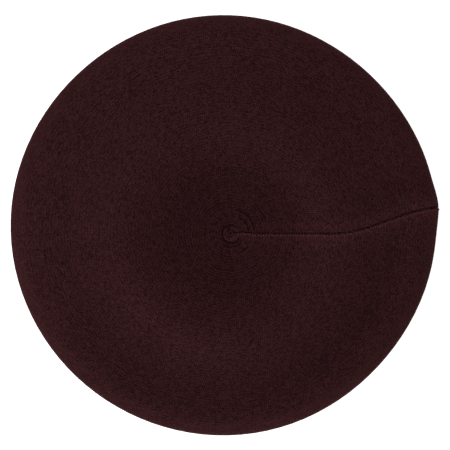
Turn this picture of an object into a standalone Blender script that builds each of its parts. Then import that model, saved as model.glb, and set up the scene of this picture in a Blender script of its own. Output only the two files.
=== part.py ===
"""A short-row knitted beret, lying flat with its head opening down, as separate closed solids.

Metres, +Z up. The origin is under the centre of the outline, on the surface the beret lies on.
+X runs along the linking seam, from the middle of the crown towards the rim.
"""

import math

import bmesh
import bpy
from mathutils import Vector

# Driving dimensions
OUTLINE_RADIUS = 0.1397        # mean radius of the flat beret
OUTLINE_STRETCH = 0.0009       # the outline is this much longer along the seam, and shorter across
SEAM_CORNER = 0.0020           # how far the outline juts out where the seam meets the rim
SEAM_CORNER_ANGLE = math.radians(5.5)
SEAM_SWELL = 0.0008            # a broader swelling of the outline past the corner
SEAM_SWELL_ANGLE = math.radians(25)
CLOTH_THICKNESS = 0.0016
CENTRE_HOLE_RADIUS = 0.0036    # the gathered hole in the middle of the crown
OPENING_RADIUS = 0.0640        # the head opening, unstretched
BAND_CLOTH_THICKNESS = 0.0013
BAND_RADIUS = 0.0626           # middle of the folded band
YARN_RADIUS = 0.0006
SEAM_GAP = 0.0024              # between the two edges that the linking seam joins
THREAD_RADIUS = 0.00025
SEAM_ANGLE = math.radians(4.8)  # of the seam at the rim and under it

OUTLINE_CENTRE = Vector((-0.0011, 0.0))
KNIT_CENTRE = Vector((0.0038, -0.0058))     # the knitting's rings close off the outline's centre
OPENING_CENTRE = Vector((-0.0010, -0.0030))

# The cloth's middle surface as (radius, height), from the centre over the rim to the opening
SHELL_SECTION = (
    (CENTRE_HOLE_RADIUS, 0.0122), (0.0140, 0.0124), (0.0280, 0.0132), (0.0420, 0.0152),
    (0.0520, 0.0182), (0.0600, 0.0210), (0.0680, 0.0226), (0.0760, 0.0218), (0.0860, 0.0190),
    (0.1000, 0.0156), (0.1120, 0.0140), (0.1230, 0.0131), (0.1310, 0.0115), (0.1366, 0.0081),
    (OUTLINE_RADIUS - CLOTH_THICKNESS / 2, 0.0046), (0.1372, 0.0018), (0.1340, 0.0008),
    (0.1300, 0.0008), (0.1240, 0.0018), (0.1120, 0.0042), (0.0960, 0.0088), (0.0820, 0.0136),
    (0.0720, 0.0164), (OPENING_RADIUS, 0.0175),
)
SHELL_COLUMNS = 60

# The folded band as (distance from the band's middle radius, height), outer layer first
BAND_SECTION = (
    (0.0017, 0.0158), (0.0022, 0.0100), (0.0025, 0.0050), (0.0023, 0.0022), (0.0014, 0.00065),
    (0.0, 0.00065), (-0.0014, 0.00065), (-0.0023, 0.0022), (-0.0025, 0.0050), (-0.0022, 0.0100),
    (-0.0017, 0.0158),
)
BAND_COLUMNS = 48

ELASTIC_RADIUS = 0.0008
ELASTIC_HEIGHT = 0.0036
KNOT_RADIUS = 0.0013
KNOT_GAP = 0.0003

LABEL_THICKNESS = 0.00045
LABEL_RADIUS = 0.05878         # middle of the main label, against the band's inner face
LABEL_ANGLE = math.radians(45)
LABEL_WIDTH = 0.040
LABEL_LOW, LABEL_HIGH = 0.0025, 0.0140
LABEL_STITCH_INSET = 0.0012

FLAP_ANGLE = math.radians(-25)
FLAP_RADIUS = 0.0578           # the flap's plane, from the middle of the opening
FLAP_WIDTH, FLAP_LENGTH, FLAP_THICKNESS = 0.018, 0.0130, 0.0004
FLAP_HINGE_HEIGHT = 0.0152


def lerp(a, b, t):
    return a + (b - a) * t


def smoothstep(low, high, value):
    t = min(max((value - low) / (high - low), 0.0), 1.0)
    return t * t * (3 - 2 * t)


def on_circle(centre, radius, angle, height):
    return Vector((centre.x + radius * math.cos(angle), centre.y + radius * math.sin(angle), height))


def spline_points(points, per_span):
    """A smooth curve through the points, with per_span steps between each two of them."""
    ends = [points[0], *points, points[-1]]
    curve = []
    for i in range(len(points) - 1):
        p0, p1, p2, p3 = (Vector(p) for p in ends[i:i + 4])
        for step in range(per_span):
            t = step / per_span
            curve.append(0.5 * (2 * p1 + (p2 - p0) * t + (2 * p0 - 5 * p1 + 4 * p2 - p3) * t ** 2
                                + (3 * p1 - p0 - 3 * p2 + p3) * t ** 3))
    curve.append(Vector(points[-1]))
    return curve


def evenly_spaced(points, count):
    """count + 1 points at equal distances along a run of points."""
    lengths = [0.0]
    for a, b in zip(points, points[1:]):
        lengths.append(lengths[-1] + (b - a).length)
    spaced, i = [], 0
    for step in range(count + 1):
        target = lengths[-1] * step / count
        while i < len(points) - 2 and lengths[i + 1] < target:
            i += 1
        t = (target - lengths[i]) / (lengths[i + 1] - lengths[i])
        spaced.append(lerp(points[i], points[i + 1], t))
    return spaced


def material(name, colour, roughness):
    made = bpy.data.materials.new(name)
    made.use_nodes = True
    shader = made.node_tree.nodes["Principled BSDF"]
    shader.inputs["Base Color"].default_value = (*colour, 1.0)
    shader.inputs["Roughness"].default_value = roughness
    shader.inputs["Metallic"].default_value = 0.0
    return made


def finish_object(made, name, look, parts):
    """Name an object, give it its material and move it into the beret's collection."""
    made.name = name
    made.data.name = name
    made.data.materials.append(look)
    for owner in list(made.users_collection):
        owner.objects.unlink(made)
    parts.objects.link(made)
    return made


def cloth_sheet(name, columns, rows, place, thickness, look, parts):
    """A grid wrapped into place and thickened to both sides. place takes two numbers from 0 to 1."""
    bm = bmesh.new()
    bmesh.ops.create_grid(bm, x_segments=columns, y_segments=rows, size=1.0)
    for vertex in bm.verts:
        vertex.co = place((vertex.co.x + 1) / 2, (vertex.co.y + 1) / 2)
    mesh = bpy.data.meshes.new(name)
    bm.to_mesh(mesh)
    bm.free()
    mesh.shade_smooth()
    sheet = finish_object(bpy.data.objects.new(name, mesh), name, look, parts)
    solidify = sheet.modifiers.new("Thickness", "SOLIDIFY")
    solidify.thickness = thickness
    solidify.offset = 0.0
    solidify.use_even_offset = True
    return sheet


def yarn(name, points, radius, look, parts, closed=False):
    curve = bpy.data.curves.new(name, "CURVE")
    curve.dimensions = "3D"
    curve.bevel_depth = radius
    curve.bevel_resolution = 2
    curve.use_fill_caps = True
    spline = curve.splines.new("POLY")
    spline.points.add(len(points) - 1)
    for target, point in zip(spline.points, points):
        target.co = (*point, 1.0)
    spline.use_cyclic_u = closed
    return finish_object(bpy.data.objects.new(name, curve), name, look, parts)


def ring(name, centre, radius, height, segments, look, parts):
    bpy.ops.mesh.primitive_torus_add(
        major_segments=segments, minor_segments=8, major_radius=radius, minor_radius=YARN_RADIUS,
        location=(centre.x, centre.y, height))
    made = bpy.context.object
    made.data.shade_smooth()
    return finish_object(made, name, look, parts)


def knot(name, place, radius, look, parts):
    bpy.ops.mesh.primitive_uv_sphere_add(segments=14, ring_count=8, radius=radius, location=place)
    made = bpy.context.object
    made.data.shade_smooth()
    return finish_object(made, name, look, parts)


def seam_route_y(x):
    """The seam runs straight out from the knitting's centre, then swings up to the rim's corner."""
    rim_y = OUTLINE_CENTRE.y + OUTLINE_RADIUS * math.sin(SEAM_ANGLE)
    return lerp(KNIT_CENTRE.y, rim_y, smoothstep(0.070, OUTLINE_RADIUS, x))


def outline_offset(angle):
    """How far the outline stands outside its mean radius."""
    from_seam = math.atan2(math.sin(angle - SEAM_ANGLE), math.cos(angle - SEAM_ANGLE))
    corner = SEAM_CORNER * math.exp(-(from_seam / SEAM_CORNER_ANGLE) ** 2)
    past_seam = smoothstep(-SEAM_CORNER_ANGLE, SEAM_CORNER_ANGLE, from_seam)
    swell = SEAM_SWELL * past_seam * math.exp(-(from_seam / SEAM_SWELL_ANGLE) ** 2)
    return OUTLINE_STRETCH * math.cos(2 * angle) + corner + swell


SECTION_CURVE = spline_points(SHELL_SECTION, 8)
RIM_SHARE = SHELL_SECTION.index(max(SHELL_SECTION)) / (len(SHELL_SECTION) - 1)


def on_shell(turn, along, side_gap):
    """A point of the cloth's middle surface.

    turn goes from 0 to 1 round the beret, from one edge of the seam to the other. along goes from 0
    at the centre to 1 at the head opening, in equal shares of the section's points. side_gap is the
    distance from the seam's middle line to the cloth's edge.
    """
    place = along * (len(SECTION_CURVE) - 1)
    i = min(int(place), len(SECTION_CURVE) - 2)
    radius, height = lerp(SECTION_CURVE[i], SECTION_CURVE[i + 1], place - i)
    share = radius / OUTLINE_RADIUS
    if along < RIM_SHARE:
        centre = lerp(KNIT_CENTRE, OUTLINE_CENTRE, share ** 2)
        rise = (seam_route_y(centre.x + radius) - centre.y) / radius
        seam = math.asin(rise)
    else:
        inward = (OUTLINE_RADIUS - radius) / (OUTLINE_RADIUS - OPENING_RADIUS)
        centre = lerp(OUTLINE_CENTRE, OPENING_CENTRE, inward)
        seam = SEAM_ANGLE
    edge = math.asin(side_gap / radius)
    angle = lerp(edge, math.tau - edge, turn)
    angle += seam * (0.5 + 0.5 * math.cos(angle)) ** 2
    return on_circle(centre, radius + outline_offset(angle) * share ** 4, angle, height)


def knitted_shell(look, parts):
    """Crown, rim and underside: one cloth, open only along the seam's gap."""
    return cloth_sheet(
        "knitted_shell", SHELL_COLUMNS, len(SHELL_SECTION) - 1,
        lambda turn, along: on_shell(turn, along, SEAM_GAP / 2), CLOTH_THICKNESS, look, parts)


def radial_seam(look, parts):
    """The linking yarn in the gap, over the ring that joins the band, to its knot inside."""
    route = [on_shell(0.0, step / 200, 0.0) for step in range(201)]
    for radius, height in ((0.0626, 0.0187), (0.0608, 0.0182), (0.0594, 0.0171)):
        route.append(on_circle(OPENING_CENTRE, radius, SEAM_ANGLE, height))
    yarn("radial_seam", evenly_spaced(route, 79), YARN_RADIUS, look, parts)
    place = on_circle(OPENING_CENTRE, 0.0584, SEAM_ANGLE, 0.0155)
    knot("seam_end_knot", place, KNOT_RADIUS, look, parts)


def centre_tie(look, parts):
    """The drawn loop that gathers the centre, and its knot inside the beret."""
    height = SHELL_SECTION[0][1]
    ring("centre_tie_yarn", KNIT_CENTRE, 0.0026, height, 24, look, parts)
    below = height - YARN_RADIUS - KNOT_GAP - 0.0015
    knot("centre_tie_knot", (*KNIT_CENTRE, below), 0.0015, look, parts)


def on_band(turn, along, side_gap):
    """A point of the folded band's middle surface, as on_shell gives one of the shell's."""
    place = along * (len(BAND_SECTION) - 1)
    i = min(int(place), len(BAND_SECTION) - 2)
    offset, height = lerp(Vector(BAND_SECTION[i]), Vector(BAND_SECTION[i + 1]), place - i)
    edge = side_gap / BAND_RADIUS
    angle = SEAM_ANGLE + lerp(edge, math.tau - edge, turn)
    return on_circle(OPENING_CENTRE, BAND_RADIUS + offset, angle, height)


def rib_band(look, parts):
    return cloth_sheet(
        "rib_band", BAND_COLUMNS, len(BAND_SECTION) - 1,
        lambda turn, along: on_band(turn, along, SEAM_GAP / 2), BAND_CLOTH_THICKNESS, look, parts)


def band_yarns(look, parts):
    """The yarn that closes the band's two ends, and the ring that joins the band to the shell."""
    route = [on_band(0.0, 0.03 + 0.94 * step / 40, 0.0) for step in range(41)]
    yarn("band_side_seam", evenly_spaced(route, 24), YARN_RADIUS, look, parts)
    ring("band_linking_yarn", OPENING_CENTRE, BAND_RADIUS - 0.0002, 0.0168, 48, look, parts)


def elastic(look, parts):
    """Round elastic in the band's fold, closed by a knot opposite the seam."""
    knot_angle = SEAM_ANGLE + math.pi
    half_gap = (KNOT_RADIUS + KNOT_GAP) / BAND_RADIUS
    steps = 60
    points = []
    for step in range(steps + 1):
        angle = knot_angle + lerp(half_gap, math.tau - half_gap, step / steps)
        points.append(on_circle(OPENING_CENTRE, BAND_RADIUS, angle, ELASTIC_HEIGHT))
    yarn("band_elastic", points, ELASTIC_RADIUS, look, parts)
    place = on_circle(OPENING_CENTRE, BAND_RADIUS, knot_angle, ELASTIC_HEIGHT)
    knot("elastic_knot", place, KNOT_RADIUS, look, parts)


def main_label(woven, thread, parts):
    """A blank woven label curved against the band's inner face, stitched all round."""
    half_turn = LABEL_WIDTH / 2 / LABEL_RADIUS

    def place(across, up):
        angle = LABEL_ANGLE + lerp(half_turn, -half_turn, across)
        return on_circle(OPENING_CENTRE, LABEL_RADIUS, angle, lerp(LABEL_LOW, LABEL_HIGH, up))

    cloth_sheet("main_label", 16, 2, place, LABEL_THICKNESS, woven, parts)

    stitch_radius = LABEL_RADIUS - LABEL_THICKNESS / 2 - KNOT_GAP - THREAD_RADIUS
    stitch_turn = half_turn - LABEL_STITCH_INSET / LABEL_RADIUS
    low, high = LABEL_LOW + LABEL_STITCH_INSET, LABEL_HIGH - LABEL_STITCH_INSET
    steps = 12
    points = []
    for start, height in ((-stitch_turn, low), (stitch_turn, high)):
        for step in range(steps + 1):
            angle = LABEL_ANGLE + lerp(start, -start, step / steps)
            points.append(on_circle(OPENING_CENTRE, stitch_radius, angle, height))
    yarn("main_label_stitches", points, THREAD_RADIUS, thread, parts, closed=True)


def care_label(woven, thread, parts):
    """A blank label that hangs loose from its sewn top edge. Its origin is on that edge."""
    hinge = on_circle(OPENING_CENTRE, FLAP_RADIUS, FLAP_ANGLE, FLAP_HINGE_HEIGHT)
    top = -(THREAD_RADIUS + KNOT_GAP)

    def place(across, up):
        return Vector((0.0, lerp(FLAP_WIDTH / 2, -FLAP_WIDTH / 2, across), top - FLAP_LENGTH * (1 - up)))

    flap = cloth_sheet("care_label", 6, 4, place, FLAP_THICKNESS, woven, parts)
    flap.location = hinge
    flap.rotation_euler.z = FLAP_ANGLE

    along = Vector((-math.sin(FLAP_ANGLE), math.cos(FLAP_ANGLE), 0.0))
    reach = FLAP_WIDTH / 2 - 0.0008
    points = [hinge + along * lerp(-reach, reach, step / 8) for step in range(9)]
    yarn("care_label_stitches", points, THREAD_RADIUS, thread, parts)


def main():
    for old in list(bpy.data.objects):
        bpy.data.objects.remove(old, do_unlink=True)
    parts = bpy.data.collections.new("beret")
    bpy.context.scene.collection.children.link(parts)

    wool = material("maroon_wool", (0.024, 0.008, 0.009), 0.95)
    rib = material("maroon_rib", (0.020, 0.007, 0.008), 0.95)
    seam_wool = material("seam_yarn", (0.028, 0.009, 0.010), 0.9)
    rubber = material("elastic_cord", (0.02, 0.02, 0.02), 0.7)
    woven = material("label_satin", (0.62, 0.58, 0.50), 0.45)
    thread = material("label_thread", (0.45, 0.42, 0.36), 0.6)

    knitted_shell(wool, parts)
    radial_seam(seam_wool, parts)
    centre_tie(seam_wool, parts)
    rib_band(rib, parts)
    band_yarns(seam_wool, parts)
    elastic(rubber, parts)
    main_label(woven, thread, parts)
    care_label(woven, thread, parts)


main()
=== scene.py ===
"""Looks of the knitted beret: short-row wool cloth, linked seam, gathered centre, ribbed band and labels.

Everything is in metres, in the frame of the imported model. The cloth is a surface with two coordinates:
s, the length along its section from the centre over the rim to the head opening, and phi, the angle
round the beret from the seam.
"""

import math

import bpy
import numpy as np
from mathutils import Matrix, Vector


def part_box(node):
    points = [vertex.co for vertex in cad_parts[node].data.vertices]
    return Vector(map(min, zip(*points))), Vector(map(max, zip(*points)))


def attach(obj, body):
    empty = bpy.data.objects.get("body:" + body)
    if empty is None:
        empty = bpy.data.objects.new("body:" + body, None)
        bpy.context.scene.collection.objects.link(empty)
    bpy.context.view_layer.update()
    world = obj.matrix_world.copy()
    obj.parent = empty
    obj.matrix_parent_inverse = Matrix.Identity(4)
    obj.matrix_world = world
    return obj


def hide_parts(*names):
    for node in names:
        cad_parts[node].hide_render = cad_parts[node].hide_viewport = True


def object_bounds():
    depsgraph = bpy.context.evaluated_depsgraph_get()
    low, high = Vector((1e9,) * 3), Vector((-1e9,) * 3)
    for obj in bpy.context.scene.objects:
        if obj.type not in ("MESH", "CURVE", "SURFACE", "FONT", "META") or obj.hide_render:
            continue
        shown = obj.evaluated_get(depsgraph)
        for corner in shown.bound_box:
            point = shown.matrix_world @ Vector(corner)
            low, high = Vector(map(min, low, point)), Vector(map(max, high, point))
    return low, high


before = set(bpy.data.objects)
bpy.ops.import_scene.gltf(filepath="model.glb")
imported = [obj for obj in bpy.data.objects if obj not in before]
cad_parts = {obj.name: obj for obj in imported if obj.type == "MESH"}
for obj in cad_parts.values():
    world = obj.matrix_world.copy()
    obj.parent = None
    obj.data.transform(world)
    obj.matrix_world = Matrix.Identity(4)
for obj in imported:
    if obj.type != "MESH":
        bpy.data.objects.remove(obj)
cad_low, cad_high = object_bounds()

ROOT, FLAP = "beret", "care_flap"
TAU = math.tau

# The shell's shape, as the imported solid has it
shell_low, shell_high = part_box("knitted_shell")
band_low, band_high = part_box("rib_band")
tie_low, tie_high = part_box("centre_tie_yarn")
OUTLINE_STRETCH = 0.0009       # the outline is this much longer along the seam, and shorter across
SEAM_CORNER = 0.0020           # how far the outline juts out where the seam meets the rim
SEAM_CORNER_ANGLE = math.radians(5.5)
SEAM_SWELL = 0.0008            # a broader swelling of the outline past the corner
SEAM_SWELL_ANGLE = math.radians(25)
SEAM_ANGLE = math.radians(4.8)  # of the seam at the rim and under it
OUTLINE_RADIUS = (shell_high.y - shell_low.y) / 2 + OUTLINE_STRETCH
CLOTH = 0.0016                 # thickness
OPENING_RADIUS = 0.0640
OUTLINE_CENTRE = np.array([shell_low.x + OUTLINE_RADIUS + OUTLINE_STRETCH, 0.0])
OPENING_CENTRE = np.array([(band_low.x + band_high.x) / 2, (band_low.y + band_high.y) / 2])
KNIT_NUDGE = 0.0005            # the photo's gathered centre sits this far from the solids' own, along +Y
KNIT_CENTRE = np.array([(tie_low.x + tie_high.x) / 2, (tie_low.y + tie_high.y) / 2 + KNIT_NUDGE])

# The cloth's middle surface as (radius, height); the drawn centre closes to a pinhole
SECTION = (
    (0.0002, 0.0118), (0.0036, 0.0121), (0.0080, 0.0123), (0.0140, 0.0124), (0.0280, 0.0132),
    (0.0420, 0.0152), (0.0520, 0.0182), (0.0600, 0.0210), (0.0680, 0.0226), (0.0760, 0.0218),
    (0.0860, 0.0190), (0.1000, 0.0156), (0.1120, 0.0140), (0.1230, 0.0131), (0.1310, 0.0115),
    (0.1366, 0.0081), (OUTLINE_RADIUS - CLOTH / 2, 0.0046), (0.1372, 0.0018), (0.1340, 0.0008),
    (0.1300, 0.0008), (0.1240, 0.0018), (0.1120, 0.0042), (0.0960, 0.0088), (0.0820, 0.0136),
    (0.0720, 0.0164), (OPENING_RADIUS, 0.0175),
)
WALE = 0.0019                  # between two columns of stitches
COURSE = 0.00135               # between two rows of stitches
WEDGES = 16                    # short-row wedges round the beret

# The seam's route over the crown
SEAM_DROP = 0.0003             # the straight part runs this far below the knitting's centre
SEAM_LEAVE = 0.0011            # it leaves the gathered centre this much higher
SEAM_LEAVE_X = (0.008, 0.024)  # where it comes down to the straight part
SEAM_SWING_X = (0.070, 0.1425)  # where it swings up to the rim's corner

# How the soft outline bulges and sinks
OUTLINE_WAVE = 0.00045         # four slight bulges, on the axes
LOBES = ((225, 27, 0.75), (322, 25, -0.85), (5, 5, -0.35))  # degrees, half width in degrees, mm

# Rows pulled open near the gathered centre: radius in mm, from and to in degrees, depth
OPEN_ROWS = (
    (12.0, 4, 62, 0.85), (15.9, 3, 82, 1.0), (20.2, 6, 40, 0.35), (24.5, 18, 48, 0.65), (28.3, 8, 30, 0.4),
    (9.0, 232, 322, 0.8), (14.0, 292, 327, 1.0), (15.4, 236, 276, 0.7), (24.4, 238, 274, 0.6),
    (19.0, 250, 300, 0.3), (16.6, 166, 192, 0.5), (20.4, 95, 148, 0.45), (11.6, 120, 165, 0.3),
)
# the last value is the painted shade along each open row, the share of its colour taken off
ROW_WIDTH, ROW_WANDER, ROW_DEPTH, ROW_PAINTED_SHADE = 0.00042, 0.00022, 0.00050, 0.84

# Half the hair's breadth that keeps two joined edges from touching
SHELL_HALF_GAP = 0.00008
BAND_HALF_GAP = 0.00012


def smoothstep(low, high, value):
    t = np.clip((value - low) / (high - low), 0.0, 1.0)
    return t * t * (3 - 2 * t)


def bell(value, middle, width):
    return np.exp(-((value - middle) / width) ** 2)


def spline_points(points, per_span):
    """A smooth curve through the points, with per_span steps between each two of them."""
    p = np.array([points[0], *points, points[-1]], float)
    t = np.linspace(0, 1, per_span, endpoint=False)[:, None]
    spans = []
    for i in range(len(points) - 1):
        a, b, c, d = p[i:i + 4]
        spans.append(0.5 * (2 * b + (c - a) * t + (2 * a - 5 * b + 4 * c - d) * t ** 2
                            + (3 * b - a - 3 * c + d) * t ** 3))
    return np.vstack([*spans, p[-1:]])


section = spline_points(SECTION, 24)
section_s = np.concatenate([[0], np.cumsum(np.linalg.norm(np.diff(section, axis=0), axis=1))])
LENGTH = section_s[-1]
RIM_S = section_s[np.argmax(section[:, 0])]


def ripple(seed, count, turns, lengths):
    """A seeded smooth noise of (s, phi), about -1 to 1: waves of up to so many turns and down to a length."""
    draw = np.random.default_rng(seed)
    k_phi = draw.integers(-turns, turns + 1, count)
    k_s = TAU / draw.uniform(*lengths, count)
    phase = draw.uniform(0, TAU, count)

    def wave(s, phi):
        total = np.zeros(np.broadcast(s, phi).shape)
        for a, b, c in zip(k_phi, k_s, phase):
            total += np.cos(a * phi + b * s + c)
        return total / math.sqrt(count)

    return wave


slow_wave = ripple(3, 14, 4, (0.09, 0.30))
mid_wave = ripple(5, 24, 14, (0.018, 0.060))
wobble_wave = ripple(8, 24, 24, (0.010, 0.050))


def seam_route_y(x):
    """The seam comes down a little from the centre, runs straight, then swings up to the rim's corner."""
    rim_y = OUTLINE_CENTRE[1] + OUTLINE_RADIUS * math.sin(SEAM_ANGLE)
    start_y = KNIT_CENTRE[1] - SEAM_DROP + SEAM_LEAVE * (1 - smoothstep(*SEAM_LEAVE_X, x))
    return start_y + (rim_y - start_y) * smoothstep(*SEAM_SWING_X, x)


def turned_from(angle, other):
    """The turn from one angle to another, -pi to pi."""
    return np.arctan2(np.sin(angle - other), np.cos(angle - other))


def middle_surface(s, phi):
    """The cloth's middle surface, shape (..., 3), and its radius."""
    s, phi = np.broadcast_arrays(s, phi)
    radius = np.interp(s, section_s, section[:, 0])
    height = np.interp(s, section_s, section[:, 1])
    share = radius / OUTLINE_RADIUS
    crown = (s < RIM_S)[..., None]
    inward = ((OUTLINE_RADIUS - radius) / (OUTLINE_RADIUS - OPENING_RADIUS))[..., None]
    over = KNIT_CENTRE + (OUTLINE_CENTRE - KNIT_CENTRE) * share[..., None] ** 2
    under = OUTLINE_CENTRE + (OPENING_CENTRE - OUTLINE_CENTRE) * inward
    centre = np.where(crown, over, under)
    rise = (seam_route_y(centre[..., 0] + radius) - centre[..., 1]) / radius
    seam = np.where(crown[..., 0], np.arcsin(np.clip(rise, -1, 1)), SEAM_ANGLE)
    angle = phi + seam * (0.5 + 0.5 * np.cos(phi)) ** 2
    from_corner = turned_from(angle, SEAM_ANGLE)
    past = smoothstep(-SEAM_CORNER_ANGLE, SEAM_CORNER_ANGLE, from_corner)
    outline = (OUTLINE_STRETCH * np.cos(2 * angle) + SEAM_CORNER * bell(from_corner, 0, SEAM_CORNER_ANGLE)
               + SEAM_SWELL * past * bell(from_corner, 0, SEAM_SWELL_ANGLE)
               + OUTLINE_WAVE * np.cos(4 * angle))
    for at, width, reach_mm in LOBES:
        off = turned_from(angle, math.radians(at))
        outline = outline + reach_mm / 1000 * bell(off, 0, math.radians(width))
    reach = radius + outline * share ** 4
    return np.stack([centre[..., 0] + reach * np.cos(angle), centre[..., 1] + reach * np.sin(angle),
                     height], -1), radius


def outward(s, phi):
    """The cloth's outer normal."""
    ds, dp = 2e-4, 2e-3
    along = middle_surface(s + ds, phi)[0] - middle_surface(s - ds, phi)[0]
    round_ = middle_surface(s, phi + dp)[0] - middle_surface(s, phi - dp)[0]
    normal = np.cross(along, round_)
    return normal / np.maximum(np.linalg.norm(normal, axis=-1, keepdims=True), 1e-12)


def wale_number(s, phi):
    """Which wale a point is on, counted from the centre; the short rows scallop it a little."""
    near = smoothstep(0.004, 0.03, s)
    scallop = 0.20 * np.abs(np.sin(WEDGES * phi / 2)) * near
    return s / WALE + scallop + 0.10 * wobble_wave(s, phi) * near


# Each feature of the cloth's outer face gives its rise in metres and its shade, a factor of the colour that
# holds painted light and shade.
# top is 1 on the crown and 0 on the underside, and edge is 0 on the crown and 1 from the rim on.


def wale_ribs(s, phi, radius, top, edge):
    """Low round ribs with narrow valleys, stretched flat over the rim, with painted shade in the valleys near
    the centre.
    """
    depth, dark = 0.00016, 0.22
    wale = wale_number(s, phi)
    across = np.abs(2 * (wale - np.floor(wale)) - 1)
    rise = -depth * across ** 3 * (1 - 0.85 * edge * top)
    return rise, 1 - dark * across ** 5 * (1 - smoothstep(0.020, 0.055, radius)) * top


def pulled_rows(s, phi, radius, top, edge):
    """A few rows pulled open beside the gathered centre, each fading out at its ends, with painted shade
    along each row.
    """
    wandering = radius + ROW_WANDER * wobble_wave(s, phi)
    degrees = np.degrees(np.mod(phi, TAU))
    rise, shade = 0.0, 1.0
    for at, first, last, depth in OPEN_ROWS:
        length = smoothstep(first - 3, first + 7, degrees) * (1 - smoothstep(last - 9, last + 3, degrees))
        line = depth * length * bell(wandering, at / 1000, ROW_WIDTH) * top
        rise = rise - ROW_DEPTH * line
        shade = shade * (1 - ROW_PAINTED_SHADE * line)
    return rise, shade


def to_front(phi):
    """1 on the beret's front half, fading to 0 at its sides."""
    return smoothstep(0.0, 0.8, -np.sin(phi - math.radians(15)))


def handled_cloth(s, phi, radius, top, edge):
    """Soft unevenness of a steamed and handled cloth, and a low roll with a trough along the front."""
    slow_height, mid_height, roll_height = 0.00038, 0.00010, 0.0007
    flat = top * (1 - 0.8 * edge)
    slow = slow_wave(s, phi)
    roll = bell(radius, 0.1275, 0.0050) - 1.2 * bell(radius, 0.1140, 0.0075)
    rise = slow_height * slow * flat + mid_height * mid_wave(s, phi) * (1 - edge)
    return rise + roll_height * to_front(phi) * flat * roll, 1 + 0.025 * slow


def gathered_centre(s, phi, radius, top, edge):
    """A C-shaped groove round the centre and puckers inside it; painted shade in the groove and one fold,
    painted light on pucker tops and the front side.
    """
    groove_depth, pucker_height, dome_height = 0.0008, 0.00045, 0.0004
    off_gap = np.abs(turned_from(phi, math.radians(5)))
    c_mask = smoothstep(math.radians(34), math.radians(50), off_gap)
    c_radius = 0.0058 + 0.00055 * np.cos(phi - math.radians(285)) + 0.00018 * np.sin(5 * phi + 1)
    groove = bell(radius, c_radius, 0.00046) * c_mask * top
    loops = np.sin(7 * phi + 700 * radius) * np.cos(4 * phi - 1100 * radius + 1)
    pucker = bell(radius, 0.0036, 0.0024) * top * loops
    painted_front_light = bell(radius, 0.0036, 0.0026) * smoothstep(-0.4, 0.5, -np.sin(phi)) * top
    painted_tuck_shade = bell(radius * np.cos(phi), -0.0017, 0.00045) * bell(radius * np.sin(phi), 0.0026, 0.0015) * top
    rise = pucker_height * pucker + dome_height * bell(radius, 0.0040, 0.0022) * top - groove_depth * groove
    # painted shade in the groove and the fold, painted highlight on the pucker tops, painted light on the
    # front side
    return rise, (1 - 0.84 * groove) * (1 + 0.28 * pucker) * (1 + 0.26 * painted_front_light) * (1 - 0.60 * painted_tuck_shade)


def linked_seam(s, phi, radius, top, edge):
    """Two rolled edges on a low ridge, a beaded line of painted shade between them, painted highlights beside
    them and a hollow above it.
    """
    far_off = 0.2
    side = np.where(np.cos(phi) > 0, radius * np.sin(phi), np.sign(np.sin(phi)) * far_off)
    outer = smoothstep(0.030, 0.105, radius) * (0.6 + 0.4 * top)
    joined = smoothstep(0.0016, 0.0040, radius)
    hollow = outer * top * (1 - 0.8 * edge) * bell(side, 0.0180, 0.0085)

    thin = 0.00034 + 0.00030 * outer
    rolled = (0.00022 + 0.00045 * outer) * (1 - 0.9 * edge) * (0.3 + 0.7 * top)
    rolled = rolled * bell(np.abs(side), 0.0016 + 0.0012 * outer, 0.0012 + 0.0012 * outer)
    groove = (0.0009 + 0.0008 * outer) * (1 - 0.97 * edge) * bell(side, 0, thin + 0.00012)
    ridge = 0.0005 * outer * bell(side, 0, 0.0075) * (1 - edge)
    rise = joined * (rolled - groove) + ridge - 0.0010 * hollow

    # line is painted shade along the groove, beside is painted highlight on the seam's raised edges, and the
    # hollow takes a little painted shade
    bead_pitch = 0.0033
    beads = 0.76 + 0.24 * np.sin(TAU * s / bead_pitch + 1.3 * np.sin(s * 900))
    line = 1.3 * beads * joined * (1 - 0.55 * bell(s, RIM_S, 0.0035)) * bell(side, 0.00014, thin)
    beside = ((0.13 + 0.13 * outer) * bell(side, 0.0038, 0.0030) + 0.16 * bell(side, -0.0018, 0.0016)
              + 0.13 * bell(side, -0.0058, 0.0040))
    return rise, (1 - np.clip(line, 0, 0.98)) * (1 + joined * beside * top) * (1 - 0.07 * hollow)


def darker_middle_painted_trough(s, phi, radius, top, edge):
    """Darker over the sunk middle and a little darker round 26 mm out, with painted shade along the front
    trough.
    """
    middle = 0.83 + 0.17 * smoothstep(0.036, 0.064, radius + 0.6 * (1 - top))
    slope = 1 - 0.09 * bell(radius, 0.026, 0.012) * top
    trough = 1 - (0.03 + 0.15 * to_front(phi)) * bell(radius, 0.107, 0.018) * top
    return 0.0, middle * slope * trough


def cloth_relief(s, phi, radius):
    """How far the cloth's outer face stands off its plain surface, and its tone, 1 where it's plain, with
    painted light and shade in it.
    """
    top = 1 - smoothstep(RIM_S + 0.002, RIM_S + 0.014, s)
    edge = smoothstep(RIM_S - 0.012, RIM_S - 0.002, s)
    relief, tone = 0.0, 1.0
    for feature in (wale_ribs, pulled_rows, handled_cloth, gathered_centre, linked_seam, darker_middle_painted_trough):
        rise, shade = feature(s, phi, radius, top, edge)
        relief = relief + rise
        tone = tone * shade
    return relief, tone


def cloth_point(s, phi, lift=0.0):
    """A point lift above the cloth's outer face, relief included."""
    place, radius = middle_surface(s, phi)
    relief = cloth_relief(np.asarray(s, float), np.asarray(phi, float), radius)[0]
    return place + outward(s, phi) * (CLOTH / 2 + relief + lift)[..., None]


# ---------------------------------------------------------------- meshes


def add_object(name, data):
    made = bpy.data.objects.new(name, data)
    bpy.context.scene.collection.objects.link(made)
    return made


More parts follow.
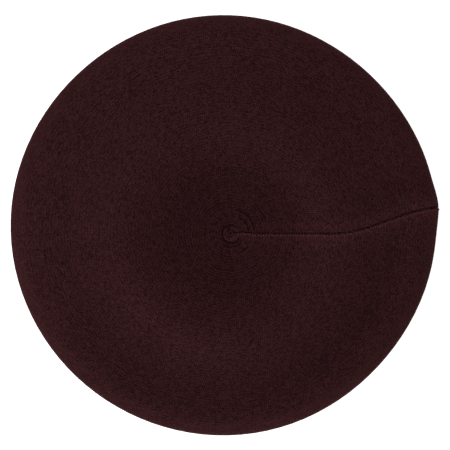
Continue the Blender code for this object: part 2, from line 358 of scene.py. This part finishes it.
def add_mesh(name, points, faces, look):
    mesh = bpy.data.meshes.new(name)
    mesh.from_pydata(np.asarray(points, float).tolist(), [], [tuple(map(int, f)) for f in faces])
    mesh.update()
    mesh.shade_smooth()
    mesh.materials.append(look)
    return add_object(name, mesh)


def grid_faces(rows, columns, start=0, closed_rows=False, closed_columns=False):
    """Quads of a grid of rows x columns points, numbered row by row."""
    faces = []
    for i in range(rows if closed_rows else rows - 1):
        a = start + i * columns
        b = start + (i + 1) % rows * columns
        for j in range(columns if closed_columns else columns - 1):
            k = (j + 1) % columns
            faces.append((a + j, a + k, b + k, b + j))
    return faces


def set_attribute(made, name, values):
    """Three values at each point, for the materials to read."""
    layer = made.data.attributes.new(name, "FLOAT_VECTOR", "POINT")
    layer.data.foreach_set("vector", np.asarray(values, np.float32).reshape(-1))


def frames_along(path, closed=False):
    """Two unit normals at each point of a path, turning as little as they can."""
    if closed:
        ahead, behind = np.roll(path, -1, 0), np.roll(path, 1, 0)
    else:
        ahead, behind = np.vstack([path[1:], path[-1:]]), np.vstack([path[:1], path[:-1]])
    tangent = ahead - behind
    tangent /= np.linalg.norm(tangent, axis=1, keepdims=True)
    side = np.cross(tangent[0], (0.31, 0.17, 0.94))
    first = np.zeros_like(path)
    for i, t in enumerate(tangent):
        side = side - t * np.dot(side, t)
        side /= np.linalg.norm(side)
        first[i] = side
    return first, np.cross(tangent, first)


def tube_arrays(path, radius, sides=7, closed=False):
    """Points and faces of a round tube along a path. radius is a number or one for each point."""
    path = np.asarray(path, float)
    first, second = frames_along(path, closed)
    radius = np.broadcast_to(radius, len(path))
    turn = np.arange(sides) * TAU / sides
    points = (path[:, None] + first[:, None] * (np.cos(turn) * radius[:, None])[..., None]
              + second[:, None] * (np.sin(turn) * radius[:, None])[..., None]).reshape(-1, 3)
    faces = grid_faces(len(path), sides, 0, closed, True)
    if not closed:
        last = (len(path) - 1) * sides
        faces += [tuple(range(sides))[::-1], tuple(range(last, last + sides))]
    return points, faces


def joined_tubes(name, tubes, look):
    """One object of many tubes."""
    points, faces, start = [], [], 0
    for tube_points, tube_faces in tubes:
        points.append(tube_points)
        faces += [tuple(i + start for i in f) for f in tube_faces]
        start += len(tube_points)
    return add_mesh(name, np.vstack(points), faces, look)


def plied(path, radius, pitch, closed=False, plies=2, sides=6):
    """The strands of a plied yarn along a path, each a tube."""
    path = np.asarray(path, float)
    first, second = frames_along(path, closed)
    steps = np.linalg.norm(np.diff(path, axis=0), axis=1)
    s = np.concatenate([[0], np.cumsum(steps)])
    turns = s / pitch
    if closed:
        whole = s[-1] + np.linalg.norm(path[0] - path[-1])
        turns = s / whole * max(1, round(whole / pitch))
    strands = []
    for k in range(plies):
        a = TAU * (turns + k / plies)
        offset = first * np.cos(a)[:, None] + second * np.sin(a)[:, None]
        strands.append(tube_arrays(path + offset * radius * 0.48, radius * 0.54, sides, closed))
    return strands


def capsule(start, middle, end, radius, sides=6):
    """A short yarn length bent over a middle point, with tapered ends."""
    t = np.linspace(0, 1, 8)[:, None]
    start, middle, end = (np.asarray(p, float) for p in (start, middle, end))
    path = (1 - t) ** 2 * start + 2 * t * (1 - t) * (2 * middle - (start + end) / 2) + t ** 2 * end
    width = radius * np.array([0.35, 0.80, 0.97, 1.0, 1.0, 0.97, 0.80, 0.35])
    return tube_arrays(path, width, sides)


def knot_path(centre, size, count=64):
    """A closed overhand knot."""
    t = np.arange(count) * TAU / count
    ring = 2 + np.cos(3 * t)
    path = np.stack([ring * np.cos(2 * t), ring * np.sin(2 * t), 1.6 * np.sin(3 * t)], 1)
    return np.asarray(centre) + path / 3 * size


# ---------------------------------------------------------------- materials


class Look:
    """A material's nodes: small helpers for colour, height and the shader."""

    def __init__(self, name):
        self.material = bpy.data.materials.new(name)
        self.material.use_nodes = True
        self.tree = self.material.node_tree
        self.shader = self.tree.nodes["Principled BSDF"]

    def node(self, kind, **settings):
        made = self.tree.nodes.new(kind)
        for key, value in settings.items():
            setattr(made, key, value)
        return made

    def put(self, value, socket):
        """Links a socket, or sets a plain value."""
        if isinstance(value, bpy.types.NodeSocket):
            self.tree.links.new(value, socket)
        else:
            socket.default_value = value

    def math(self, operation, *values):
        made = self.node("ShaderNodeMath", operation=operation)
        for value, socket in zip(values, made.inputs):
            self.put(value, socket)
        return made.outputs[0]

    def attribute(self, name):
        split = self.node("ShaderNodeSeparateXYZ")
        self.put(self.node("ShaderNodeAttribute", attribute_name=name).outputs["Vector"], split.inputs[0])
        return split.outputs

    def vary(self, base, value, strength):
        """The base, moved up or down by a 0 to 1 value."""
        return self.math("MULTIPLY_ADD", self.math("SUBTRACT", value, 0.5), strength, base)

    def noise(self, scale, detail, rough):
        made = self.node("ShaderNodeTexNoise")
        self.put(self.node("ShaderNodeTexCoord").outputs["Object"], made.inputs["Vector"])
        made.inputs["Scale"].default_value = scale
        made.inputs["Detail"].default_value = detail
        made.inputs["Roughness"].default_value = rough
        return made.outputs["Fac"]

    def colour(self, rgb, strength, drift=None, hue=0.0):
        """The colour times a strength. hue moves it between warmer and colder by the drift value."""
        scaled = self.node("ShaderNodeVectorMath", operation="SCALE")
        scaled.inputs[0].default_value = rgb
        if drift is not None:
            moved = self.node("ShaderNodeVectorMath", operation="MULTIPLY_ADD")
            self.put(self.math("SUBTRACT", drift, 0.5), moved.inputs[0])
            moved.inputs[1].default_value = tuple(hue * k * c for k, c in zip(HUE_SHIFT, rgb))
            moved.inputs[2].default_value = rgb
            self.put(moved.outputs[0], scaled.inputs[0])
        self.put(strength, scaled.inputs["Scale"])
        self.put(scaled.outputs[0], self.shader.inputs["Base Color"])

    def bump(self, height, distance, strength=1.0):
        made = self.node("ShaderNodeBump")
        made.inputs["Strength"].default_value = strength
        made.inputs["Distance"].default_value = distance
        self.put(height, made.inputs["Height"])
        self.put(made.outputs[0], self.shader.inputs["Normal"])

    def surface(self, roughness, specular, sheen=0.0, sheen_roughness=0.5, tint=(1, 1, 1)):
        inputs = self.shader.inputs
        inputs["Roughness"].default_value = roughness
        inputs["Specular IOR Level"].default_value = specular
        inputs["Sheen Weight"].default_value = sheen
        inputs["Sheen Roughness"].default_value = sheen_roughness
        inputs["Sheen Tint"].default_value = (*tint, 1.0)
        return self.material


HUE_SHIFT = (0.6, -1.0, -1.8)  # how a warmer colour's red, green and blue change
WOOL = (0.0240, 0.0074, 0.0083)
WOOL_SHEEN = dict(sheen=0.145, sheen_roughness=0.28, tint=(1.0, 0.34, 0.36))
# the seam yarn is the same wool made 2.5 times lighter: painted light on its raised loops
RIB_SHADE, SEAM_YARN_PAINTED_LIGHT = 0.95, 2.5


# The nap hides the stitches where the cloth is stretched over the rim
NAP_START, NAP_REACH, NAP_HIDES = 0.127, 0.010, 0.55
MEAN_HEIGHT = 0.62             # of a stitch's height map


def knit_look(name, rgb, wedged=True):
    """Plain knitting: V-shaped stitches from the knit attribute, with wool's nap.

    The attribute is (wale, angle, radius) on wedged cloth, whose rows run along each wedge's first edge,
    and (wale, row, 0) on a plain strip.
    """
    look = Look(name)
    wale, phi, radius = look.attribute("knit")
    tone = look.attribute("tone")[0]
    course = phi
    if wedged:
        inside = look.math("MODULO", phi, TAU / WEDGES)
        course = look.math("MULTIPLY", look.math("SINE", inside), look.math("DIVIDE", radius, COURSE))
    across = look.math("ABSOLUTE", look.math("SUBTRACT", look.math("FRACT", wale), 0.5))
    across = look.math("MULTIPLY", across, 2.0)
    row = look.math("MULTIPLY_ADD", across, 0.55, course)
    stitch = look.math("SINE", look.math("MULTIPLY", look.math("FRACT", row), math.pi))
    valley = look.math("SUBTRACT", 1.0, look.math("MULTIPLY", look.math("POWER", across, 4.0), 0.55))
    height = look.math("MULTIPLY", look.math("POWER", stitch, 0.6), valley)
    clear = 1.0
    if wedged:
        rim = look.math("MAXIMUM", look.math("SUBTRACT", radius, NAP_START), 0.0)
        rim = look.math("MINIMUM", rim, NAP_REACH)
        clear = look.math("SUBTRACT", 1.0, look.math("MULTIPLY", rim, NAP_HIDES / NAP_REACH))
        height = look.math("MULTIPLY_ADD", look.math("SUBTRACT", height, MEAN_HEIGHT), clear, MEAN_HEIGHT)

    # every leg of a stitch is its own shade, under the nap's fine speckle
    cell = look.node("ShaderNodeCombineXYZ")
    look.put(look.math("FLOOR", look.math("MULTIPLY", wale, 2.0)), cell.inputs[0])
    look.put(look.math("FLOOR", row), cell.inputs[1])
    leg = look.node("ShaderNodeTexWhiteNoise", noise_dimensions="2D")
    look.put(cell.outputs[0], leg.inputs["Vector"])
    fine = look.noise(1750, 1.0, 0.6)
    # the colour follows each stitch's height: painted shade between the stitches
    bright = look.math("MULTIPLY_ADD", height, 0.80, 0.49)
    bright = look.vary(bright, leg.outputs["Value"], look.math("MULTIPLY", clear, 0.70))
    bright = look.vary(bright, fine, 2.6)
    bright = look.vary(bright, look.noise(1100, 1.0, 0.6), 0.5)
    bright = look.vary(bright, look.noise(60, 3.0, 0.5), 0.22)
    bright = look.math("MAXIMUM", bright, 0.12)
    look.colour(rgb, look.math("MULTIPLY", bright, tone), look.noise(1250, 1.0, 0.5), 0.3)

    look.bump(look.math("MULTIPLY_ADD", fine, 0.9, height), 0.00045, 0.8)
    return look.surface(1.0, 0.012, **WOOL_SHEEN)


def yarn_look(name, rgb, scale=2600):
    """Spun yarn: fine fibres and a light, uneven dye."""
    look = Look(name)
    fine = look.noise(scale, 3.0, 0.65)
    bright = look.vary(look.vary(1.0, fine, 1.3), look.noise(500, 2.0, 0.5), 0.5)
    look.colour(rgb, look.math("MAXIMUM", bright, 0.2))
    look.bump(fine, 0.00012, 0.8)
    return look.surface(1.0, 0.02, **WOOL_SHEEN)


def satin_look(name, rgb):
    """A woven satin label: fine warp lines along its length and a faint cross weave."""
    warp_pitch, weft_pitch = 0.00028, 0.00045
    look = Look(name)
    along, across, _ = look.attribute("weave")
    warp = look.math("SINE", look.math("MULTIPLY", across, TAU / warp_pitch))
    weft = look.math("SINE", look.math("MULTIPLY", along, TAU / weft_pitch))
    weave = look.math("MULTIPLY_ADD", weft, 0.35, warp)
    bright = look.math("MULTIPLY_ADD", weave, 0.05, 0.95)
    look.colour(rgb, look.vary(bright, look.noise(300, 2.0, 0.5), 0.18))
    look.bump(weave, 0.00004, 0.6)
    return look.surface(0.42, 0.5, sheen=0.15)


def braid_look(name, rgb):
    """Elastic's braided cover."""
    look = Look(name)
    spots = look.node("ShaderNodeTexVoronoi")
    look.put(look.node("ShaderNodeTexCoord").outputs["Object"], spots.inputs["Vector"])
    spots.inputs["Scale"].default_value = 1600
    look.colour(rgb, look.math("MULTIPLY_ADD", spots.outputs["Distance"], 0.8, 0.6))
    look.bump(spots.outputs["Distance"], 0.0001, 0.7)
    return look.surface(0.6, 0.4)


# ---------------------------------------------------------------- pieces


def round_angles():
    """Angles round the beret from one edge of the seam to the other, closer together near it."""
    step, grown, limit = math.radians(0.18), 1.18, math.radians(3.4)
    half = [0.0]
    while half[-1] + step < math.pi:
        half.append(half[-1] + step)
        step = min(step * grown, limit)
    half = np.array(half) * (math.pi / (half[-1] + step / 2))
    return np.concatenate([half, TAU - half[::-1]])


def knitted_shell(look):
    """The cloth: a finely ridged outer face and a plainer inner face, joined at every edge."""
    fine, plain, per_inner = WALE / 5, WALE / 3.5, 6
    crown_end = RIM_S + 0.012
    crown_rows = int(crown_end / fine / per_inner) * per_inner
    under_rows = int((LENGTH - crown_end) / plain / per_inner) * per_inner
    s = np.concatenate([np.linspace(0, crown_end, crown_rows, endpoint=False),
                        np.linspace(crown_end, LENGTH, under_rows + 1)])
    phi = round_angles()
    rows, columns = len(s), len(phi)
    grid_s, grid_phi = np.meshgrid(s, phi, indexing="ij")
    middle, radius = middle_surface(grid_s, grid_phi)
    normal = outward(grid_s, grid_phi)
    relief, tone = cloth_relief(grid_s, grid_phi, radius)
    apart = SHELL_HALF_GAP * np.array([-math.sin(SEAM_ANGLE), math.cos(SEAM_ANGLE), 0.0])
    middle[:, 0] += apart
    middle[:, -1] -= apart
    outer = middle + normal * (CLOTH / 2 + relief)[..., None]
    outer[..., 2] = np.maximum(outer[..., 2], cad_low.z)
    inner_rows = np.arange(0, rows, per_inner)
    inner = (middle - normal * (CLOTH / 2))[inner_rows]

    points = np.vstack([outer.reshape(-1, 3), inner.reshape(-1, 3)])
    base = rows * columns
    faces = [f[::-1] for f in grid_faces(rows, columns)]
    faces += grid_faces(len(inner_rows), columns, base)

    # the centre's pinhole and the opening's edge, then the two edges of the seam
    last = base + (len(inner_rows) - 1) * columns
    for j in range(columns - 1):
        faces.append((j, j + 1, base + j + 1, base + j))
        top = (rows - 1) * columns + j
        faces.append((top + 1, top, last + j, last + j + 1))
    end = columns - 1
    for k in range(len(inner_rows) - 1):
        a, b = base + k * columns, base + (k + 1) * columns
        outer_run = [(per_inner * k + i) * columns for i in range(per_inner + 1)]
        faces.append((a, b, *outer_run[::-1]))
        faces.append((b + end, a + end, *[i + end for i in outer_run]))
    made = add_mesh("knitted_cloth", points, faces, look)
    knit = np.stack([wale_number(grid_s, grid_phi), grid_phi, radius], -1)
    set_attribute(made, "knit", np.vstack([knit.reshape(-1, 3), knit[inner_rows].reshape(-1, 3)]))
    shade = np.repeat(tone[..., None], 3, -1).reshape(-1, 3)
    set_attribute(made, "tone", np.vstack([shade, np.ones_like(inner).reshape(-1, 3)]))
    return made


STITCH_PITCH = 0.0017
STITCH_RADIUS = 0.00034
GROOVE_YARN_DEPTH, GROOVE_YARN_RADIUS, GROOVE_YARN_TWIST = 0.0007, 0.00024, 0.0020


def seam_stitches(look):
    """The linking stitches: slanted loops over the lower edge, and the yarn in the groove."""
    tubes = []
    draw = np.random.default_rng(21)
    for s in np.arange(0.0060, LENGTH - 0.001, STITCH_PITCH):
        s = s + draw.normal(0, 0.00012)
        r = float(np.interp(s, section_s, section[:, 0]))
        wide = 0.0019 + 0.0004 * float(smoothstep(0.03, 0.11, r)) + draw.normal(0, 0.00018)
        size = STITCH_RADIUS + draw.normal(0, 0.00003)
        ends = []
        for ahead, side, lift in ((-0.0006, -0.00080, -0.0001), (0.0, -0.5 * wide, 0.00026),
                                  (0.0007, -wide, -0.00020)):
            phi = TAU + math.asin(side / r)
            end = cloth_point(np.array([min(s + ahead, LENGTH)]), np.array([phi]), lift)[0]
            end[2] = max(end[2], cad_low.z + size)
            ends.append(end)
        tubes.append(capsule(*ends, size))
    s = np.linspace(0.004, LENGTH, 420)
    deep = cloth_point(s, np.zeros(len(s)), -GROOVE_YARN_DEPTH)
    deep[:, 2] = np.maximum(deep[:, 2], cad_low.z + 0.0006)
    tubes += plied(deep, GROOVE_YARN_RADIUS, GROOVE_YARN_TWIST)
    return joined_tubes("seam_linking", tubes, look)


def ribbon(path, thickness, count):
    """A 2-D path at even steps, the offset from it to the ribbon's outer face, and the run so far."""
    path = np.asarray(path, float)
    run = np.concatenate([[0], np.cumsum(np.linalg.norm(np.diff(path, axis=0), axis=1))])
    at = np.linspace(0, run[-1], count)
    path = np.stack([np.interp(at, run, path[:, 0]), np.interp(at, run, path[:, 1])], 1)
    tangent = np.gradient(path, axis=0)
    tangent /= np.linalg.norm(tangent, axis=1, keepdims=True)
    return path, np.stack([-tangent[:, 1], tangent[:, 0]], 1) * thickness / 2, at


def ribbon_faces(rows, columns):
    """Faces of a ribbon swept through columns, from grid points of the outer then the inner face."""
    faces = [f[::-1] for f in grid_faces(rows, columns)]
    faces += grid_faces(rows, columns, rows * columns)
    start, last = rows * columns, (rows - 1) * columns
    for j in range(columns - 1):
        faces.append((j, start + j, start + j + 1, j + 1)[::-1])
        faces.append((last + j, start + last + j, start + last + j + 1, last + j + 1))
    for i in range(rows - 1):
        a, b, end = i * columns, (i + 1) * columns, columns - 1
        faces.append((b, a, start + a, start + b))
        faces.append((a + end, b + end, start + b + end, start + a + end))
    return faces


BAND_RADIUS = 0.0626
BAND_CLOTH = 0.0013            # thickness
RIBS = 112
RIB_DEPTH = 0.00055

# The band's fold as (off BAND_RADIUS, height), up one face and down the other
BAND_PATH = spline_points((
    (0.0017, 0.0158), (0.0022, 0.0100), (0.0025, 0.0050), (0.0023, 0.0022), (0.0014, 0.00072),
    (0.0, 0.00065), (-0.0014, 0.00072), (-0.0023, 0.0022), (-0.0025, 0.0050), (-0.0022, 0.0100),
    (-0.0017, 0.0158)), 12)


def around_opening(radius, angle, height):
    """Points at a radius, angle and height round the head opening's axis."""
    return np.stack([OPENING_CENTRE[0] + radius * np.cos(angle), OPENING_CENTRE[1] + radius * np.sin(angle),
                     height + 0 * angle], -1)


def ribbed_band(look):
    """The folded band: upright ribs on its outer face, a plain inner face round the elastic's channel."""
    rows, per_rib = 26, 8
    path, offset, run = ribbon(BAND_PATH, BAND_CLOTH, rows)
    columns = RIBS * per_rib
    turn = np.linspace(0, 1, columns)
    half_gap = BAND_HALF_GAP / BAND_RADIUS
    angle = SEAM_ANGLE + half_gap + (TAU - 2 * half_gap) * turn
    rib = turn * RIBS
    across = np.abs(2 * (rib - np.floor(rib)) - 1)
    valley = across[None] ** 2.5
    sink = (-RIB_DEPTH * valley + 0.00006 * wobble_wave(run[:, None], angle[None])) / (BAND_CLOTH / 2)
    skins = []
    for way, relief in ((1.0, sink), (-1.0, np.zeros_like(sink))):
        reach = path[:, None] + way * offset[:, None] * (1 + relief)[..., None]
        skins.append(around_opening(BAND_RADIUS + reach[..., 0], np.broadcast_to(angle, reach.shape[:2]),
                                    reach[..., 1]))
    made = add_mesh("ribbed_band", np.vstack([k.reshape(-1, 3) for k in skins]),
                    ribbon_faces(rows, columns), look)
    knit = np.stack(np.broadcast_arrays(rib[None], (run / COURSE)[:, None], 0.0), -1).reshape(-1, 3)
    set_attribute(made, "knit", np.vstack([knit, knit]))
    # painted shade in the valleys between the ribs
    tone = np.broadcast_to((1 - 0.45 * valley)[..., None], (rows, columns, 3)).reshape(-1, 3)
    set_attribute(made, "tone", np.vstack([tone, np.ones_like(tone)]))
    return made


def band_side_stitches(look):
    """Short stitches across the join of the band's two ends, round its outer face."""
    half, radius = 0.0011, 0.00030
    path, offset, _ = ribbon(BAND_PATH, BAND_CLOTH, 22)
    tubes = []
    for (x, z), (nx, nz) in zip(path[1:-1], offset[1:-1]):
        ends = []
        for across, lift in ((-half, 0.7), (0.0, 1.15), (half, 0.7)):
            angle = np.array([SEAM_ANGLE + across / BAND_RADIUS])
            ends.append(around_opening(BAND_RADIUS + x + nx * lift, angle, z + nz * lift)[0])
        tubes.append(capsule(*ends, radius))
    return joined_tubes("band_side_stitches", tubes, look)


def band_linking(look):
    """The chain of linking yarn between the band's top edges and the shell's inner edge."""
    steps, loops = 900, 150
    yarn_radius, twist, height = 0.00058, 0.0040, 0.0168
    angle = np.arange(steps) * TAU / steps
    sway = 0.00028 * np.sin(angle * loops)
    path = around_opening(BAND_RADIUS - 0.0002 + sway, angle, height + 0.00020 * np.cos(angle * loops))
    return joined_tubes("band_linking_chain", plied(path, yarn_radius, twist, closed=True), look)


def yarn_knot(name, node, look, size, radius):
    """A knot of yarn of the given radius, where the node is."""
    low_corner, high_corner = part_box(node)
    centre = (low_corner + high_corner) / 2
    return joined_tubes(name, [tube_arrays(knot_path(centre, size), radius, 8, closed=True)], look)


def centre_loop(look):
    """The drawn loop in the middle of the crown."""
    steps, yarn_radius, twist = 60, 0.00036, 0.0016
    angle = np.arange(steps) * TAU / steps
    radius = 0.00125 + 0.00012 * np.sin(3 * angle + 1)
    top = cloth_point(np.full(steps, 0.0012), angle)[:, 2].max()
    path = np.stack([KNIT_CENTRE[0] + radius * np.cos(angle), KNIT_CENTRE[1] + radius * np.sin(angle),
                     top + 0.00005 + 0.0001 * np.cos(2 * angle)], 1)
    return joined_tubes("centre_drawn_loop", plied(path, yarn_radius, twist, closed=True), look)


LABEL_RADIUS = 0.05878         # of the main label's middle, round the opening's axis
LABEL_ANGLE = math.radians(45)
LABEL_WIDTH = 0.040
LABEL_LOW, LABEL_HIGH = (corner.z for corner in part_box("main_label"))
THREAD_RADIUS = 0.00017


def main_label(look):
    """A blank woven label with folded ends, lying on the band's inner face."""
    rows, columns = 64, 18
    u = np.linspace(-0.5, 0.5, rows)[:, None]
    v = np.linspace(0, 1, columns)[None]
    angle = LABEL_ANGLE + u * LABEL_WIDTH / LABEL_RADIUS + 0 * v
    height = LABEL_LOW + (LABEL_HIGH - LABEL_LOW) * v + 0 * u
    fold = smoothstep(0.40, 0.42, np.abs(u)) + 0 * v
    wave = 0.00010 * np.sin(9 * u + 2.0 * v) + 0.00005 * np.sin(31 * u + 5 * v)
    front = around_opening(LABEL_RADIUS - 0.00012 - 0.00013 * fold + wave, angle, height)
    back = around_opening(LABEL_RADIUS + 0.00018 + wave, angle, height)
    made = add_mesh("main_label_woven", np.vstack([front.reshape(-1, 3), back.reshape(-1, 3)]),
                    [f[::-1] for f in ribbon_faces(rows, columns)], look)
    weave = np.stack(np.broadcast_arrays(u * LABEL_WIDTH, height, 0.0), -1).reshape(-1, 3)
    set_attribute(made, "weave", np.vstack([weave, weave]))
    return made


def to_axis(place):
    """The level unit vector from a place to the head opening's axis."""
    way = np.array([OPENING_CENTRE[0] - place[0], OPENING_CENTRE[1] - place[1], 0.0])
    return way / np.linalg.norm(way)


def dashes(name, points, length, space, look):
    """Short stitches along a run of points on a label, standing off it towards the opening's axis."""
    run = np.concatenate([[0], np.cumsum(np.linalg.norm(np.diff(points, axis=0), axis=1))])
    tubes = []
    at = space / 2
    while at + length < run[-1]:
        ends = []
        for share, lift in ((0.0, -0.00006), (0.5, 0.00012), (1.0, -0.00006)):
            place = np.array([np.interp(at + share * length, run, points[:, k]) for k in range(3)])
            ends.append(place + to_axis(place) * lift)
        tubes.append(capsule(*ends, THREAD_RADIUS))
        at += length + space
    return joined_tubes(name, tubes, look)


def main_label_stitches(look):
    """Stitches all round the main label, a little inside its edge."""
    inset = 0.0012
    half = LABEL_WIDTH / 2 - inset
    u = np.linspace(-half, half, 40)
    radius = LABEL_RADIUS - 0.00030
    below = around_opening(radius, LABEL_ANGLE + u / radius, LABEL_LOW + inset)
    above = around_opening(radius, LABEL_ANGLE + u[::-1] / radius, LABEL_HIGH - inset)
    return dashes("main_label_thread", np.vstack([below, above, below[:1]]), 0.0019, 0.0006, look)


# The care label hangs at an angle and a radius round the opening's axis
FLAP_ANGLE = math.radians(-25)
FLAP_RADIUS = 0.0578
FLAP_WIDTH = 0.018
FLAP_CLOTH = 0.00022           # thickness
FLAP_LOW, FLAP_HIGH = (corner.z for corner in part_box("care_label"))
flap_out = np.array([math.cos(FLAP_ANGLE), math.sin(FLAP_ANGLE), 0.0])
flap_along = np.array([-math.sin(FLAP_ANGLE), math.cos(FLAP_ANGLE), 0.0])
flap_hinge = np.array([*OPENING_CENTRE, 0.0]) + FLAP_RADIUS * flap_out


def care_label(look):
    """A blank label folded double, hanging from its sewn edge."""
    rows, columns = 40, 20
    half = 0.00032
    arc = [(half * math.cos(a), FLAP_LOW + half - half * math.sin(a)) for a in np.linspace(0, math.pi, 9)]
    path, offset, run = ribbon([(half, FLAP_HIGH), *arc, (-half, FLAP_HIGH)], FLAP_CLOTH, rows)
    v = np.linspace(-0.5, 0.5, columns)[None]
    down = (FLAP_HIGH - path[:, 1:2]) / (FLAP_HIGH - FLAP_LOW)
    curl = -0.0009 * down ** 2 * (0.4 + 2.2 * v ** 2) + 0.00008 * np.sin(14 * v + 6 * down)
    skins = []
    for way in (1.0, -1.0):
        at = path + way * offset
        place = (flap_hinge + flap_out * (at[:, None, 0:1] + curl[..., None])
                 + flap_along * (v * FLAP_WIDTH)[..., None] + np.array([0, 0, 1.0]) * at[:, None, 1:2])
        skins.append(place.reshape(-1, 3))
    made = add_mesh("care_label_woven", np.vstack(skins), ribbon_faces(rows, columns), look)
    weave = np.stack(np.broadcast_arrays(run[:, None], v * FLAP_WIDTH, 0.0), -1).reshape(-1, 3)
    set_attribute(made, "weave", np.vstack([weave, weave]))
    return made


def care_label_stitches(look):
    """The row of stitches that holds the care label's top edge to the band."""
    inset = 0.0008
    reach = FLAP_WIDTH / 2 - inset
    height = sum(corner.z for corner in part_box("care_label_stitches")) / 2
    points = flap_hinge + flap_along * np.linspace(-reach, reach, 9)[:, None] + np.array([0, 0, height])
    return dashes("care_label_thread", points, 0.0019, 0.0005, look)


def piece(made, body, slot, *nodes):
    """States the body a piece rides on and the nodes it stands for; the slot is not used."""
    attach(made, body)
    if nodes:
        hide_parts(*nodes)


def build():
    wool = knit_look("maroon_knit", WOOL)
    rib = knit_look("maroon_rib", tuple(RIB_SHADE * c for c in WOOL), wedged=False)
    seam_yarn = yarn_look("seam_yarn", tuple(SEAM_YARN_PAINTED_LIGHT * c for c in WOOL))
    tie_yarn = yarn_look("tie_yarn", WOOL)
    satin = satin_look("label_satin", (0.60, 0.56, 0.48))
    thread = yarn_look("label_thread", (0.45, 0.42, 0.36), 5000)
    braid = braid_look("elastic_braid", (0.022, 0.020, 0.020))

    piece(knitted_shell(wool), ROOT, "shell_knit", "knitted_shell")
    piece(seam_stitches(seam_yarn), ROOT, "seam_yarn", "radial_seam")
    piece(yarn_knot("seam_end_tie", "seam_end_knot", tie_yarn, 0.00095, 0.00030), ROOT, "seam_yarn",
          "seam_end_knot")
    piece(centre_loop(tie_yarn), ROOT, "seam_yarn", "centre_tie_yarn")
    piece(yarn_knot("centre_knot", "centre_tie_knot", tie_yarn, 0.0011, 0.00036), ROOT, "seam_yarn",
          "centre_tie_knot")
    piece(ribbed_band(rib), ROOT, "rib_knit", "rib_band")
    piece(band_side_stitches(seam_yarn), ROOT, "seam_yarn", "band_side_seam")
    piece(band_linking(tie_yarn), ROOT, "seam_yarn", "band_linking_yarn")
    piece(yarn_knot("elastic_tie", "elastic_knot", braid, 0.00095, 0.00034), ROOT, "elastic_cord",
          "elastic_knot")
    piece(main_label(satin), ROOT, "label_satin", "main_label")
    piece(main_label_stitches(thread), ROOT, "label_thread", "main_label_stitches")
    piece(care_label(satin), FLAP, "label_satin", "care_label")
    piece(care_label_stitches(thread), ROOT, "label_thread", "care_label_stitches")
    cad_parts["band_elastic"].material_slots[0].material = braid


build()

# ---------------------------------------------------------------- stage, light and camera


FLOOR_SIZE, FLOOR_DROP, FLOOR_GLOW = 12.0, 0.0006, 0.70
SKY, SKY_SEEN = 0.75, 0.30     # the white dome's light, and what the camera sees on top of it
VIEW_ACROSS = 0.2979           # width of the picture at the beret's height
VIEW_OFFSET = (0.0001, 0.0002)
VIEW_HEIGHT = 0.006            # the height at which the picture is that wide


def floor():
    """A white backlit table, so the beret lies on an even white."""
    bpy.ops.mesh.primitive_plane_add(size=FLOOR_SIZE, location=(0, 0, cad_low.z - FLOOR_DROP))
    made = bpy.context.object
    made.name = "white_table"
    look = Look("white_table")
    look.shader.inputs["Base Color"].default_value = (0.82, 0.82, 0.82, 1)
    look.shader.inputs["Roughness"].default_value = 0.9
    look.shader.inputs["Emission Color"].default_value = (1, 1, 1, 1)
    look.shader.inputs["Emission Strength"].default_value = FLOOR_GLOW
    made.data.materials.append(look.material)


def area_light(name, place, size, power):
    """A round light aimed at the frame's origin."""
    light = bpy.data.lights.new(name, "AREA")
    light.shape = "DISK"
    light.size = size
    light.energy = power
    made = add_object(name, light)
    made.location = place
    made.rotation_euler = (-Vector(place)).to_track_quat("-Z", "Y").to_euler()


def lights():
    """A key light, a low one for the lower left rim, and a dome that the camera sees brighter."""
    area_light("key", (-0.76, -0.06, 1.45), 0.7, 14)
    area_light("rim", (-0.80, -1.30, 0.30), 0.6, 9.5)
    world = bpy.data.worlds.new("white_dome")
    world.use_nodes = True
    nodes, links = world.node_tree.nodes, world.node_tree.links
    nodes["Background"].inputs["Color"].default_value = (1, 1, 1, 1)
    strength = nodes.new("ShaderNodeMath")
    strength.operation = "MULTIPLY_ADD"
    links.new(nodes.new("ShaderNodeLightPath").outputs["Is Camera Ray"], strength.inputs[0])
    strength.inputs[1].default_value, strength.inputs[2].default_value = SKY_SEEN, SKY
    links.new(strength.outputs[0], nodes["Background"].inputs["Strength"])
    bpy.context.scene.world = world


def camera():
    """Straight down, through a long lens."""
    lens = bpy.data.cameras.new("top")
    lens.type = "PERSP"
    lens.lens = 135
    made = add_object("top", lens)
    middle = (cad_low + cad_high) / 2
    made.location = (middle.x + VIEW_OFFSET[0], middle.y + VIEW_OFFSET[1],
                     VIEW_HEIGHT + VIEW_ACROSS * lens.lens / lens.sensor_width)
    lens.clip_start, lens.clip_end = 0.01, 50
    bpy.context.scene.camera = made


floor()
lights()
camera()
bpy.context.scene.view_settings.view_transform = "Standard"
